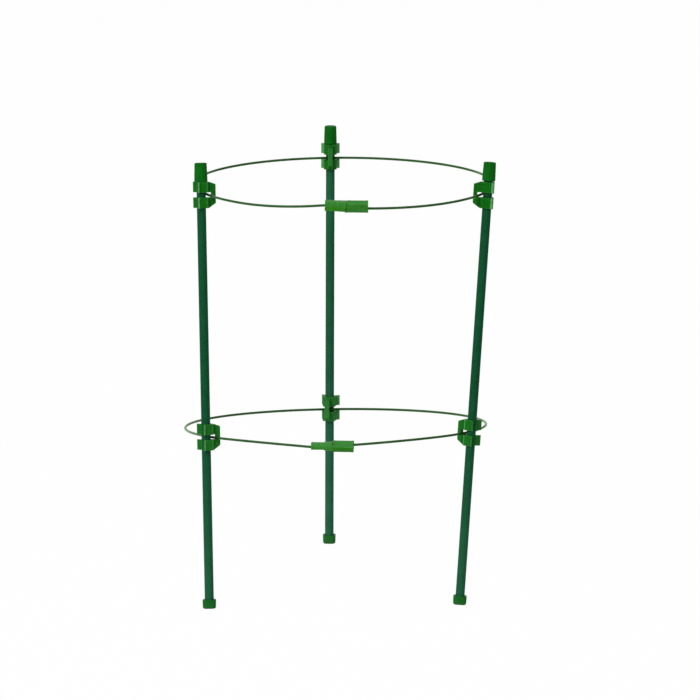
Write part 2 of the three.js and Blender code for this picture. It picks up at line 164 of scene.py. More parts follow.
class PlantSupportStakeSettings(bpy.types.PropertyGroup):
    stake_length: length("Stake length", "From the foot's sole to the top cap's crown", 0.4514)
    diameter: length("Diameter", "Outside diameter of the coated stake", 0.0093)
    coat_wall: length("Coat wall", "Thickness of the plastic coat", 0.00055)
    fit_gap: length("Fit gap", "Clearance between pieces that touch", 0.0003)
    weld_height: length("Weld height", "Height of the tube's weld line under the coat", 0.00004)
    sides: count("Sides", "Facets round the stake", 72)


class PlantSupportCapSettings(bpy.types.PropertyGroup):
    top_length: length("Top cap length", "Height of the cap on the stake's top", 0.0188)
    top_crown: length("Top cap crown", "Thickness of the closed end", 0.0024)
    top_base_diameter: length("Base diameter", "Outside diameter at the open end", 0.0135)
    top_head_diameter: length("Head diameter", "Outside diameter at the closed end", 0.01245)
    top_edge: length("Edge radius", "Rounding of the closed end's rim", 0.0011)
    rib_count: count("Ribs", "Fine grip ribs round the top cap", 26)
    rib_depth: length("Rib depth", "Depth of the grooves between the grip ribs", 0.00022)
    gate_height: length("Gate mark height", "How far the moulding gate's mark stands out", 0.00022)
    gate_radius: length("Gate mark radius", "Radius of the moulding gate's mark", 0.0007)
    gate_level: length("Gate mark level", "Height of the gate mark over the open end", 0.0042)
    foot_length: length("Foot cap length", "Height of the cap on the stake's foot", 0.0089)
    foot_floor: length("Foot cap floor", "Thickness under the stake", 0.002)
    foot_width: length("Foot cap width", "Width across the flats near the open end", 0.0136)
    foot_sole_width: length("Sole width", "Width across the flats near the ground", 0.0133)
    foot_corner: length("Foot cap corner", "Corner radius seen from above", 0.004)
    foot_sole_edge: length("Sole edge", "Rounding round the sole", 0.0017)
    foot_rim_edge: length("Rim edge", "Rounding round the open end", 0.0006)


class PlantSupportClipSettings(bpy.types.PropertyGroup):
    collar_height: length("Collar height", "Height of each C collar", 0.0107)
    collar_spacing: length("Collar spacing", "Slot between the two collars", 0.0051)
    half_width: length("Half width", "Half the collar's width across the stake", 0.0068)
    reach: length("Reach", "From the stake's middle to the collar's back", 0.0071)
    corner: length("Corner", "Corner radius of the collar's back", 0.004)
    mouth: length("Mouth", "Half the width of the collar's mouth", 0.0036)
    lip_root: length("Lip root", "Where the lips leave the collar", 0.0036)
    lip_inner_reach: length("Lip inner reach", "Reach of the lip's inner corner", 0.0064)
    lip_outer_reach: length("Lip outer reach", "Reach of the lip's outer corner", 0.0052)
    lip_inner_spread: length("Lip inner spread", "Spread of the lip's inner corner", 0.0092)
    lip_outer_spread: length("Lip outer spread", "Spread of the lip's outer corner", 0.0099)
    web_thickness: length("Web thickness", "Thickness of the web between the collars", 0.0047)
    web_reach: length("Web reach", "From the stake's middle to the web's edge", 0.0146)
    web_slot: length("Slot depth", "From the stake's middle to the slot's end", 0.0104)
    web_root: length("Web root", "Where the web starts inside the collars", 0.006)
    web_chamfer_start: length("Chamfer start", "Where the web's slants leave the collars", 0.0076)
    web_top_chamfer: length("Top slant", "Drop of the web's upper slant", 0.0025)
    web_bottom_chamfer: length("Bottom slant", "Rise of the web's lower slant", 0.0048)
    edge: length("Edge rounding", "Rounding of the moulded edges", 0.00032)


class PlantSupportRingSettings(bpy.types.PropertyGroup):
    wire_diameter: length("Wire diameter", "Outside diameter of the coated wire", 0.0025)
    upper_radius: length("Upper ring radius", "To the middle of the wire", 0.1523)
    lower_radius: length("Lower ring radius", "To the middle of the wire", 0.1549)
    rise_reach: angle("Rise reach", "How far round from the joiner the wire's rise dies out", 44)
    upper_joiner: angle("Upper joiner", "Where the joiner sits round the upper ring", 271)
    lower_joiner: angle("Lower joiner", "Where the joiner sits round the lower ring", 269.1)
    upper_rise_left: length("Upper rise left", "Rise of the wire at the plug end", 0.0048)
    upper_rise_right: length("Upper rise right", "Rise of the wire at the socket end", 0.00145)
    lower_rise_left: length("Lower rise left", "Rise of the wire at the plug end", -0.0041)
    lower_rise_right: length("Lower rise right", "Rise of the wire at the socket end", -0.00245)
    # The clip mark is painted shade on the wire inside and beside each clip
    mark_reach: length("Clip mark reach", "How far a clip has kept the wire dark", 0.0125)
    mark_fade: length("Clip mark fade", "Length over which the mark dies out", 0.0045)
    sides: count("Wire sides", "Facets round the wire", 20)
    steps: count("Ring steps", "Steps of wire round each ring", 420)


class PlantSupportJoinerSettings(bpy.types.PropertyGroup):
    half_length: length("Half length", "Length of each joiner half", 0.0213)
    plug_width: length("Plug width", "Wide way across the plug half", 0.011)
    plug_thickness: length("Plug thickness", "Narrow way across the plug half", 0.0077)
    socket_width: length("Socket width", "Wide way across the socket half", 0.0124)
    socket_thickness: length("Socket thickness", "Narrow way across the socket half", 0.0073)
    corner: length("Corner", "Corner radius of the section", 0.0006)
    crown: length("Crown", "How far the faces of a half bulge", 0.0004)
    edge: length("End rounding", "Rounding at the wire's end of a half", 0.0006)
    parting_edge: length("Parting rounding", "Rounding where the two halves meet", 0.00025)
    parting_gap: length("Parting gap", "Clearance between the halves' end faces", 0.00012)
    rim_length: length("Rim length", "Length of the raised rim at each end", 0.0018)
    rim_height: length("Rim height", "How far the rims stand out", 0.00015)
    collar_length: length("Collar length", "Length of the plug half's thick end", 0.0075)
    collar_thickness: length("Collar thickness", "Thickness of the plug's thick end", 0.0091)
    collar_taper: length("Collar taper", "Length of the slope up to the thick end", 0.0018)
    pin_diameter: length("Pin diameter", "Diameter of the plug's pin", 0.0044)
    pin_length: length("Pin length", "Length of the plug's pin", 0.0075)
    plug_offset: length("Plug wire offset", "How far below its middle the lower plug takes the "
                        "wire", 0.0012)
    socket_offset: length("Socket wire offset", "How far beside its middle a socket takes the "
                          "wire", 0.0025)
    socket_tilt: angle("Socket tilt", "How far the upper socket half tilts up on its pin", 2.5)
    wire_tail: length("Wire tail", "Length of wire inside each half", 0.011)
    upper_plug_roll: angle("Upper plug roll", "Turn of the upper plug about its own length", 4)
    upper_socket_roll: angle("Upper socket roll", "Turn of the upper socket half", 32)
    lower_plug_roll: angle("Lower plug roll", "Turn of the lower plug half", 90)
    lower_socket_roll: angle("Lower socket roll", "Turn of the lower socket half", -58)
    # How strong the painted shade is in each joiner's parting groove
    upper_groove_shade: amount("Upper groove shade", "How dark the upper joiner's parting is", 0.85)
    lower_groove_shade: amount("Lower groove shade", "How dark the lower joiner's parting is", 0.15)
    upper_slant: angle("Upper parting slant", "Slant of the parting in the upper joiner", 9)
    lower_slant: angle("Lower parting slant", "Slant of the parting in the lower joiner", 0)


class PlantSupportFinishSettings(bpy.types.PropertyGroup):
    coat_colour: colour("Stake coat", "Dark bluish green of the stakes", (0.006, 0.086, 0.029))
    cap_colour: colour("Top caps", "Deep green of the top caps", (0.0045, 0.135, 0.0075))
    foot_colour: colour("Foot caps", "Green of the foot caps", (0.009, 0.16, 0.018))
    clip_colour: colour("Clips", "Bright green of the clips", (0.007, 0.152, 0.008))
    joiner_colour: colour("Joiners", "Light green of the joiners", (0.032, 0.225, 0.011))
    wire_colour: colour("Ring wire", "Dull green of the wire's coat", (0.038, 0.118, 0.03))
    steel_colour: colour("Steel", "Bare steel of the hidden tubes", (0.33, 0.34, 0.35))
    dust_colour: colour("Soil dust", "Dust that lies on the foot caps", (0.18, 0.15, 0.11))


class PlantSupportStageSettings(bpy.types.PropertyGroup):
    camera_place: bpy.props.FloatVectorProperty(
        name="Camera place", description="Where the camera stands", size=3,
        default=(0.011877, -4.70545, 1.20965), subtype="TRANSLATION", unit="LENGTH", precision=5,
    )
    camera_pitch: angle("Camera pitch", "How far the camera looks down", 11.6076)
    lens: millimetres("Lens", "Focal length in millimetres", 240.284)
    sensor_width: millimetres("Sensor width", "Sensor width in millimetres", 36)
    floor_size: length("Floor size", "Side of the square floor", 60)
    floor_glow: amount("Floor glow", "Share of plain white the camera sees on the floor", 0.985)
    floor_colour: colour("Floor", "Colour of the floor", (0.82, 0.82, 0.82))
    sky_strength: amount("Sky strength", "Brightness of the light all round", 0.18)


class PlantSupportSettings(bpy.types.PropertyGroup):
    stakes: bpy.props.PointerProperty(name="Stakes", type=PlantSupportStakeSettings)
    caps: bpy.props.PointerProperty(name="Caps", type=PlantSupportCapSettings)
    clips: bpy.props.PointerProperty(name="Clips", type=PlantSupportClipSettings)
    rings: bpy.props.PointerProperty(name="Rings", type=PlantSupportRingSettings)
    joiners: bpy.props.PointerProperty(name="Joiners", type=PlantSupportJoinerSettings)
    finish: bpy.props.PointerProperty(name="Finish", type=PlantSupportFinishSettings)
    stage: bpy.props.PointerProperty(name="Stage", type=PlantSupportStageSettings)


# Loops: closed rows of points that are stacked into one skin. Lengths are in metres.

def round_loop(radius, height, points, centre=(0, 0)):
    turns = (ROUND * (i + 0.5) / points for i in range(points))
    return [
        Vector((centre[0] + radius * math.cos(turn), centre[1] + radius * math.sin(turn), height))
        for turn in turns
    ]


def box_loop(width, thickness, corner, height, points, crown=0):
    """A rounded box section whose faces bulge by the crown. Each quarter of the points makes
    one corner and the face after it."""
    radius = min(corner, width / 2 - crown, thickness / 2 - crown)
    half_x = width / 2 - radius - crown
    half_y = thickness / 2 - radius - crown
    on_corner = points // 8
    on_face = points // 4 - on_corner
    loop = []
    for quarter, (side_x, side_y) in enumerate(((1, 1), (-1, 1), (-1, -1), (1, -1))):
        for i in range(on_corner):
            turn = (quarter + i / (on_corner - 1)) * math.pi / 2
            x = side_x * half_x + radius * math.cos(turn)
            y = side_y * half_y + radius * math.sin(turn)
            loop.append(Vector((x, y, height)))
        out = Vector((side_x, 0, 0)) if quarter % 2 else Vector((0, side_y, 0))
        onward = Vector((-out.y, out.x, 0))
        span, reach = (half_y, half_x) if quarter % 2 else (half_x, half_y)
        for i in range(1, on_face + 1):
            share = 2 * i / (on_face + 1) - 1
            bulge = reach + radius + crown * (1 - share * share)
            loop.append(onward * (span * share) + out * bulge + UP * height)
    return loop


def rounding(radius, steps):
    """(inset, height) pairs of a rounded edge, from the end face to the side."""
    turns = [i / steps * math.pi / 2 for i in range(steps + 1)]
    return [(radius * (1 - math.sin(turn)), radius * (1 - math.cos(turn))) for turn in turns]


def skin_mesh(name, loops, matrix):
    """One skin through the loops, closed at both ends. Its UV map runs round the piece and
    along it, in metres."""
    points = len(loops[0])
    last = (len(loops) - 1) * points
    faces = [
        (low + i, low + (i + 1) % points, low + points + (i + 1) % points, low + points + i)
        for low in range(0, last, points) for i in range(points)
    ]
    faces += [tuple(reversed(range(points))), tuple(range(last, last + points))]
    mesh = bpy.data.meshes.new(name)
    mesh.from_pydata([matrix @ point for loop in loops for point in loop], [], faces)

    girth = max(
        sum((loop[i] - loop[i - 1]).length for i in range(points)) for loop in loops
    )
    along = [0.0]
    for low, high in zip(loops, loops[1:]):
        along.append(along[-1] + (high[0] - low[0]).length)
    layer = mesh.uv_layers.new(name="Round and along")
    for face in mesh.polygons:
        steps = {vertex % points for vertex in face.vertices}
        wraps = len(face.vertices) == 4 and steps >= {0, points - 1}
        for k in face.loop_indices:
            level, step = divmod(mesh.loops[k].vertex_index, points)
            turn = points if wraps and step == 0 else step
            layer.data[k].uv = (girth * turn / points, along[level])
    return mesh


def put(name, data):
    """A new object in the scene."""
    made = bpy.data.objects.new(name, data)
    bpy.context.scene.collection.objects.link(made)
    return made


def add_piece(name, mesh, material, replaced, sharp_degrees=38):
    """Puts a finished mesh in the scene on the body of the node that it stands for."""
    mesh.shade_smooth()
    mesh.set_sharp_from_angle(angle=math.radians(sharp_degrees))
    mesh.materials.clear()
    mesh.materials.append(material)
    piece = put(name, mesh)
    even = piece.modifiers.new("Even shading", "WEIGHTED_NORMAL")
    even.keep_sharp = True
    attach(piece, BODY_OF[replaced])
    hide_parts(replaced)


# Places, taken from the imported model

def named(rows, name):
    return next(row for row in rows if row["name"] == name)


def placed(origin, across, up):
    """A frame at the origin, with X across and Z up."""
    basis = Matrix((across, up.cross(across), up)).transposed().to_4x4()
    return Matrix.Translation(origin) @ basis


def stake_matrix(side):
    """A stake's own frame: origin in the middle of the sole, Z up the stake."""
    sole = named(frame["record"]["mounts"], f"{side}_foot_sole")
    up = -Vector(sole["axis"]).normalized()
    across = (Vector((1, 0, 0)) - up * up.x).normalized()
    return placed(Vector(sole["pos_m"]), across, up)


def clip_matrix(ring, side, clips):
    """A clip's own frame: origin under its lower collar, Z up the stake, X along its web."""
    stake = stake_matrix(side)
    to_stake = stake.inverted()
    points = [to_stake @ v.co for v in frame["nodes"][f"{ring}_{side}_clip"].data.vertices]
    base = min(p.z for p in points)
    edge = [p for p in points if math.hypot(p.x, p.y) > clips.web_reach - clips.edge]
    turn = math.atan2(sum(p.y for p in edge), sum(p.x for p in edge))
    return stake @ Matrix.Translation((0, 0, base)) @ Matrix.Rotation(turn, 4, "Z")


def ring_matrix(ring):
    """A ring's own frame: origin in its middle, Z along its normal, X to the right."""
    turn = named(frame["joints"], f"{ring}_ring_turn")
    normal = Vector(turn["axis"]).normalized()
    across = Vector((1, 0, -normal.x / normal.z)).normalized()
    return placed(Vector(turn["pos_m"]), across, normal)


# Shapes

def coat_loops(stakes, caps):
    """The bore from top to bottom, then the outside from bottom to top, which is sunk a
    little everywhere but on the tube's weld line."""
    radius = stakes.diameter / 2
    inner = radius - stakes.coat_wall
    low = caps.foot_floor + stakes.fit_gap
    high = stakes.stake_length - caps.top_crown - stakes.fit_gap
    weld = 3 * stakes.sides // 4
    kept = 1 - stakes.weld_height / radius
    loops = [round_loop(inner, high, stakes.sides), round_loop(inner, low, stakes.sides)]
    for i in range(COAT_LEVELS + 1):
        loop = round_loop(radius, low + (high - low) * i / COAT_LEVELS, stakes.sides)
        loops.append([
            p if k == weld else Vector((p.x * kept, p.y * kept, p.z)) for k, p in enumerate(loop)
        ])
    return loops


def top_cap_loops(stakes, caps, gate_turn):
    """From the ceiling of the bore, down and round the open end, and up to the crown."""
    points = caps.rib_count * POINTS_PER_RIB
    bore = stakes.diameter / 2 + stakes.fit_gap
    base = stakes.stake_length - caps.top_length
    ceiling = stakes.stake_length - caps.top_crown
    head = caps.top_head_diameter / 2
    foot = caps.top_base_diameter / 2
    side_length = stakes.stake_length - caps.top_edge - base - CAP_LIP
    loops = [
        round_loop(radius, height, points)
        for radius, height in (
            (bore * BORE_MIDDLE, ceiling), (bore, ceiling), (bore, base + CAP_LIP),
            (bore + CAP_LIP, base), (foot - CAP_LIP, base),
        )
    ]
    for k in range(CAP_LEVELS + 1):
        share = k / CAP_LEVELS
        height = base + CAP_LIP + side_length * share
        radius = foot + (head - foot) * share
        fade = min(1, share * RIBS_IN, (1 - share) * RIBS_OUT)
        loop = []
        for i, point in enumerate(round_loop(radius, height, points)):
            turn = math.atan2(point.y, point.x)
            groove = (0.5 - 0.5 * math.cos(ROUND * i / POINTS_PER_RIB)) ** 2
            away = math.remainder(turn - gate_turn, ROUND) * radius
            lift = height - base - caps.gate_level
            spread = (away * away + lift * lift) / caps.gate_radius ** 2
            cut = caps.rib_depth * (1 - groove) * fade
            cut -= caps.gate_height * math.exp(-spread * spread)
            reach = (radius - cut) / radius
            loop.append(Vector((point.x * reach, point.y * reach, height)))
        loops.append(loop)
    for inset, drop in reversed(rounding(caps.top_edge, 6)[:-1]):
        loops.append(round_loop(head - inset, stakes.stake_length - drop, points))
    for share, depth in CROWN_DISH:
        loops.append(round_loop(head * share, stakes.stake_length - depth, points))
    return loops


def foot_cap_loops(stakes, caps):
    """From the sole, up the outside, over the rim and down the bore to its floor."""
    bore = stakes.diameter / 2 + stakes.fit_gap
    sole, rim = caps.foot_sole_edge, caps.foot_length
    stations = [
        (caps.foot_sole_width, inset, rise) for inset, rise in rounding(caps.foot_sole_edge, 7)
    ]
    for share in FOOT_SIDE:
        width = caps.foot_sole_width + share * (caps.foot_width - caps.foot_sole_width)
        stations.append((width, 0, sole + share * (rim - sole)))
    stations += [
        (caps.foot_width, inset, rim - drop)
        for inset, drop in reversed(rounding(caps.foot_rim_edge, 5))
    ]
    loops = [box_loop(SOLE_MIDDLE, SOLE_MIDDLE, SOLE_MIDDLE_CORNER, 0, FOOT_POINTS)]
    for width, inset, height in stations:
        across = width - 2 * inset
        loops.append(box_loop(across, across, caps.foot_corner - inset, height, FOOT_POINTS))
    for radius, height in (
        (bore + FOOT_LEAD, rim), (bore, rim - FOOT_LEAD),
        (bore, caps.foot_floor), (bore * BORE_MIDDLE, caps.foot_floor),
    ):
        loops.append(round_loop(radius, height, FOOT_POINTS))
    return loops


def rounded_outline(corners, steps=5):
    """A closed outline with every corner of (x, y, radius) rounded."""
    outline = []
    for i, (x, y, radius) in enumerate(corners):
        here = Vector((x, y))
        if not radius:
            outline.append(here)
            continue
        back = (Vector(corners[i - 1][:2]) - here).normalized()
        on = (Vector(corners[(i + 1) % len(corners)][:2]) - here).normalized()
        half = back.angle(on) / 2
        cut = radius / math.tan(half)
        centre = here + (back + on).normalized() * (radius / math.sin(half))
        start, end = here + back * cut - centre, here + on * cut - centre
        swing = start.angle_signed(end)
        for k in range(steps + 1):
            outline.append(centre + Matrix.Rotation(-swing * k / steps, 2) @ start)
    return outline


def reworked(mesh, change=None):
    """The same mesh after a change to it, with all its faces turned outwards."""
    work = bmesh.new()
    work.from_mesh(mesh)
    if change:
        change(work)
    bmesh.ops.recalc_face_normals(work, faces=work.faces)
    work.to_mesh(mesh)
    work.free()
    return mesh


def open_bore(work):
    """Turns a skin whose last loop stands over its first into a pipe: the two end faces, which
    have the most corners, make way for a ring of faces between their rims."""
    most = max(len(face.verts) for face in work.faces)
    ends = [face for face in work.faces if len(face.verts) == most]
    rims = [edge for face in ends for edge in face.edges]
    bmesh.ops.delete(work, geom=ends, context="FACES_ONLY")
    bmesh.ops.bridge_loops(work, edges=rims)


def prism(name, outline, low, high, upright=True):
    """A solid from an outline. Upright outlines lie in XY; the others lie in XZ, across Y."""
    total = len(outline)
    vertices = [
        (x, y, level) if upright else (x, level, y) for level in (low, high) for x, y in outline
    ]
    faces = [tuple(range(total)), tuple(range(2 * total - 1, total - 1, -1))]
    for i in range(total):
        j = (i + 1) % total
        faces.append((j, i, i + total, j + total))
    mesh = bpy.data.meshes.new(name)
    mesh.from_pydata(vertices, [], faces)
    return reworked(mesh)


def settled(mesh, kind, **values):
    """The mesh after one modifier."""
    holder = put("holder", mesh)
    modifier = holder.modifiers.new(kind, kind)
    for key, value in values.items():
        setattr(modifier, key, value)
    bpy.context.view_layer.update()
    graph = bpy.context.evaluated_depsgraph_get()
    result = bpy.data.meshes.new_from_object(holder.evaluated_get(graph))
    bpy.data.objects.remove(holder)
    return result


def clip_mesh(stakes, clips):
    """Two C collars and a web, joined into one solid with rounded edges."""
    bore = stakes.diameter / 2 + stakes.fit_gap
    mouth = math.asin(clips.mouth / bore)
    side = [
        (-bore * math.cos(mouth), clips.mouth, 0),
        (-clips.lip_inner_reach, clips.lip_inner_spread, TIP_RADIUS),
        (-clips.lip_outer_reach, clips.lip_outer_spread, TIP_RADIUS),
        (-clips.lip_root, clips.half_width, ROOT_RADIUS),
        (clips.reach, clips.half_width, clips.corner),
    ]
    collar = rounded_outline([(x, -y, radius) for x, y, radius in side] + side[::-1])
    for i in range(1, BORE_STEPS):
        turn = math.pi - mouth - (ROUND - 2 * mouth) * i / BORE_STEPS
        collar.append(Vector((bore * math.cos(turn), bore * math.sin(turn))))
    slot_low = clips.collar_height
    slot_high = clips.collar_height + clips.collar_spacing
    height = 2 * clips.collar_height + clips.collar_spacing
    web = rounded_outline([
        (clips.web_root, 0, 0),
        (clips.web_chamfer_start, 0, SLANT_RADIUS),
        (clips.web_reach, clips.web_bottom_chamfer, SHOULDER_RADIUS),
        (clips.web_reach, height - clips.web_top_chamfer, SHOULDER_RADIUS),
        (clips.web_chamfer_start, height, SLANT_RADIUS),
        (clips.web_root, height, 0),
        (clips.web_root, slot_high, 0),
        (clips.web_slot, slot_high, SLOT_RADIUS),
        (clips.web_slot, slot_low, SLOT_RADIUS),
        (clips.web_root, slot_low, 0),
    ])
    half = clips.web_thickness / 2
    joined = prism("low collar", collar, 0, slot_low)
    for part in (
        put("web", prism("web", web, -half, half, upright=False)),
        put("high collar", prism("high collar", collar, slot_high, height)),
    ):
        joined = settled(joined, "BOOLEAN", operation="UNION", solver="EXACT", object=part)
        bpy.data.objects.remove(part)
    return settled(
        joined, "BEVEL", width=clips.edge, segments=3, limit_method="ANGLE",
        angle_limit=math.radians(35), use_clamp_overlap=True,
    )


def mark_painted_highlights(mesh, clips, highlight_strengths):
    """Marks painted highlights on a clip: on the flare of its lips, more towards the tips,
    along the web's outer edge, and down the collars' corners beside the web."""
    on_lips, on_edge, on_corner = highlight_strengths
    marks = mesh.attributes.new(HIGHLIGHT_MARK, "FLOAT", "CORNER")
    flare = clips.lip_outer_spread - clips.half_width
    for face in mesh.polygons:
        at, out = face.center, face.normal
        on_flare = at.x < 0 and out.x > FLARE_OUT and abs(at.y) > clips.half_width
        web_edge = at.x > clips.web_reach - clips.edge and out.x > WEB_EDGE_OUT
        corner = at.x > 0 and abs(out.y) > CORNER_ACROSS
        corner = corner and CORNER_OUT[0] < out.x < CORNER_OUT[1]
        for k in face.loop_indices:
            spread = abs(mesh.vertices[mesh.loops[k].vertex_index].co.y) - clips.half_width
            if on_flare:
                share = AT_ROOT + AT_TIP * spread / flare
                marks.data[k].value = on_lips * max(0, min(1, share))
            elif web_edge:
                marks.data[k].value = on_edge
            elif corner:
                marks.data[k].value = on_corner


class RingLayout:
    """Where the wire and the joiner of one ring lie, in the ring's own frame."""

    def __init__(self, ring, rings, joiners):
        upper = ring == "upper"
        self.radius = getattr(rings, f"{ring}_radius")
        self.azimuth = getattr(rings, f"{ring}_joiner")
        self.rise_left = getattr(rings, f"{ring}_rise_left")
        self.rise_right = getattr(rings, f"{ring}_rise_right")
        self.reach = rings.rise_reach
        self.plug_roll = getattr(joiners, f"{ring}_plug_roll")
        self.socket_roll = getattr(joiners, f"{ring}_socket_roll")
        self.plug_slant = getattr(joiners, f"{ring}_slant")
        self.plug_offset = 0 if upper else joiners.plug_offset
        self.socket_offset = joiners.socket_offset * (-1 if upper else 1)
        tilt = joiners.socket_tilt if upper else 0
        self.socket_slant = -(self.plug_slant + tilt)
        self.reach_over = math.sin(tilt) * joiners.socket_width / 2
        half = joiners.half_length
        self.end = math.asin(half / self.radius)
        self.outward = Vector((math.cos(self.azimuth), math.sin(self.azimuth), 0))
        plug_side = self.width_way(self.plug_roll + math.pi / 2) * self.plug_offset
        socket_side = self.width_way(self.socket_roll) * self.socket_offset
        tilted = half - joiners.pin_length / 2
        left = self.point(self.azimuth - self.end, self.rise_left) - plug_side
        right = self.point(self.azimuth + self.end, self.rise_right) - socket_side
        right -= UP * tilted * math.sin(tilt)
        self.axis = (right - left).normalized()
        self.socket_axis = (self.axis * math.cos(tilt) + UP * math.sin(tilt)).normalized()
        middle = (left + right) / 2
        self.plug_end = middle - self.axis * half
        tilted += self.reach_over
        self.far_end = middle + self.axis * joiners.pin_length / 2 + self.socket_axis * tilted
        self.wire_left = self.plug_end + plug_side
        self.wire_right = self.far_end + socket_side

    def width_way(self, roll):
        return Vector((0, 0, math.cos(roll))) + self.outward * math.sin(roll)

    def point(self, azimuth, rise):
        return Vector((self.radius * math.cos(azimuth), self.radius * math.sin(azimuth), rise))

    def rise_at(self, from_joiner):
        distance = abs(from_joiner)
        if distance >= self.reach:
            return 0
        share = (self.reach - distance) / (self.reach - self.end)
        return (self.rise_left if from_joiner < 0 else self.rise_right) * share * share

    def half_matrix(self, origin, direction, roll):
        width = self.width_way(roll)
        width = (width - direction * width.dot(direction)).normalized()
        return placed(origin, width, direction)

    def wire_path(self, rings, joiners):
        """From inside the socket half, round the ring, to inside the plug half."""
        tail = self.socket_axis * joiners.wire_tail
        path = [
            self.wire_right - tail * (1 - i / TAIL_STEPS) for i in range(TAIL_STEPS)
        ]
        path.append(self.wire_right)
        first, last = self.end, ROUND - self.end
        for step in range(1, rings.steps):
            turned = first + (last - first) * step / rings.steps
            from_joiner = turned - ROUND if turned > math.pi else turned
            path.append(self.point(self.azimuth + turned, self.rise_at(from_joiner)))
        tail = self.axis * joiners.wire_tail
        path += [self.wire_left + tail * i / TAIL_STEPS for i in range(TAIL_STEPS + 1)]
        for _ in range(SMOOTHINGS):
            path[1:-1] = [
                (before + 2 * here + after) / 4
                for before, here, after in zip(path, path[1:], path[2:])
            ]
        return path


def wire_loops(path, diameter, points):
    """A round section carried along the path, kept upright to the ring's plane."""
    turns = [-ROUND * k / points for k in range(points)]
    loops = []
    for i, middle in enumerate(path):
        ahead = path[min(i + 1, len(path) - 1)] - path[max(i - 1, 0)]
        way = ahead.normalized()
        side = way.cross(UP).normalized()
        up = side.cross(way)
        loops.append([
            middle + (side * math.cos(turn) + up * math.sin(turn)) * (diameter / 2)
            for turn in turns
        ])
    return loops


def mark_clip_shade(mesh, rings):
    """Marks painted shade on the wire where it runs through the clips and beside them."""
    marks = mesh.attributes.new(SHADE_MARK, "FLOAT", "POINT")
    to_stakes = [stake_matrix(side).inverted() for side in SIDES]
    for vertex in mesh.vertices:
        near = min((to_stake @ vertex.co).xy.length for to_stake in to_stakes)
        share = (rings.mark_reach + rings.mark_fade - near) / rings.mark_fade
        marks.data[vertex.index].value = max(0, min(1, share))


def mark_parting_shade(mesh, share):
    """Marks painted shade in the groove between the halves of a joiner."""
    marks = mesh.attributes.new(SHADE_MARK, "FLOAT", "POINT")
    for vertex in mesh.vertices[-JOINER_POINTS * PARTING_LOOPS:]:
        marks.data[vertex.index].value = share


def joiner_body(joiners, width, stations):
    """Rounded box loops through (height, thickness, inset) stations."""
    return [
        box_loop(width - 2 * inset, thickness - 2 * inset, joiners.corner - inset / 2,
                 height, JOINER_POINTS, joiners.crown)
        for height, thickness, inset in stations
    ]


def joiner_rounds(rows, beside=(0, 0)):
    return [round_loop(radius, height, JOINER_POINTS, beside) for radius, height in rows]


def wire_end(stakes, rings, joiners, width, thickness, beside):
    """A half's loops at the wire's end: from the floor of the bore to its mouth, round the
    end face and over the raised rim."""
    bore = rings.wire_diameter / 2 + stakes.fit_gap
    depth = joiners.wire_tail + stakes.fit_gap
    mouth = JOINER_LEAD / 2
    rim = joiners.rim_length
    stations = [(rise, thickness, inset) for inset, rise in rounding(joiners.edge, 4)]
    stations += [(rim, thickness, 0), (rim + RIM_STEP, thickness, joiners.rim_height)]
    hole = [(bore * BORE_MIDDLE, depth), (bore, depth), (bore, mouth), (bore + mouth, 0)]
    return [*joiner_rounds(hole, beside), *joiner_body(joiners, width, stations)]


def rim_start(joiners, parting, thickness):
    """The step up to the raised rim at the parting, as stations."""
    start = parting - joiners.rim_length
    return [(start - RIM_STEP, thickness, joiners.rim_height), (start, thickness, 0)]


def parting_end(joiners, parting, width, thickness):
    """A half's last loops before its rounded end face at the parting, and that rounding."""
    turn_in = reversed(rounding(joiners.parting_edge, 4))
    stations = [(parting - 2 * RIM_STEP, thickness, 0)]
    stations += [(parting - rise, thickness, inset) for inset, rise in turn_in]
    return joiner_body(joiners, width, stations)


def slanted(loops, slant, matrix):
    """Leans a parting face, so that the halves part on a slant seen from the front."""
    lean = math.tan(slant)
    up = matrix.to_3x3().inverted() @ UP
    return [
        [Vector((p.x, p.y, p.z + lean * (p.x * up.x + p.y * up.y))) for p in loop]
        for loop in loops
    ]


def plug_loops(stakes, rings, joiners, layout, matrix):
    """From the floor of the wire's bore, over the outside, to the pin's tip."""
    width, thin, thick = joiners.plug_width, joiners.plug_thickness, joiners.collar_thickness
    parting = joiners.half_length - joiners.parting_gap / 2
    taper_start = joiners.half_length - joiners.collar_length - joiners.collar_taper
    stations = []
    for i in range(TAPER_STEPS + 1):
        share = i / TAPER_STEPS
        ease = share * share * (3 - 2 * share)
        height = taper_start + joiners.collar_taper * share
        stations.append((height, thin + (thick - thin) * ease, joiners.rim_height))
    stations += rim_start(joiners, parting, thick)
    pin = joiners.pin_diameter / 2
    tip = joiners.half_length + joiners.pin_length
    face = parting_end(joiners, parting, width, thick) + joiner_rounds([(pin, parting)])
    return [
        *wire_end(stakes, rings, joiners, width, thin, (0, layout.plug_offset)),
        *joiner_body(joiners, width, stations),
        *slanted(face, layout.plug_slant, matrix),
        *joiner_rounds([(pin, tip - JOINER_LEAD), (pin - JOINER_LEAD, tip)]),
    ]


def socket_loops(stakes, rings, joiners, layout, matrix):
    """From the floor of the wire's bore, over the outside, to the floor of the pin's socket."""
    width, thin = joiners.socket_width, joiners.socket_thickness
    parting = joiners.half_length - joiners.parting_gap / 2 + layout.reach_over
    socket = joiners.pin_diameter / 2 + stakes.fit_gap
    floor = joiners.half_length - joiners.pin_length - stakes.fit_gap
    hole = [(socket, parting - JOINER_LEAD), (socket, floor), (socket * BORE_MIDDLE, floor)]
    middle = [(joiners.half_length / 2, thin, joiners.rim_height)]
    face = [
        *joiner_body(joiners, width, rim_start(joiners, parting, thin)),
        *parting_end(joiners, parting, width, thin),
        *joiner_rounds([(socket + JOINER_LEAD / 2, parting)]),
    ]
    return [
        *wire_end(stakes, rings, joiners, width, thin, (layout.socket_offset, 0)),
        *joiner_body(joiners, width, middle),
        *slanted(face, layout.socket_slant, matrix),
        *joiner_rounds(hole),
    ]


# Shader nodes

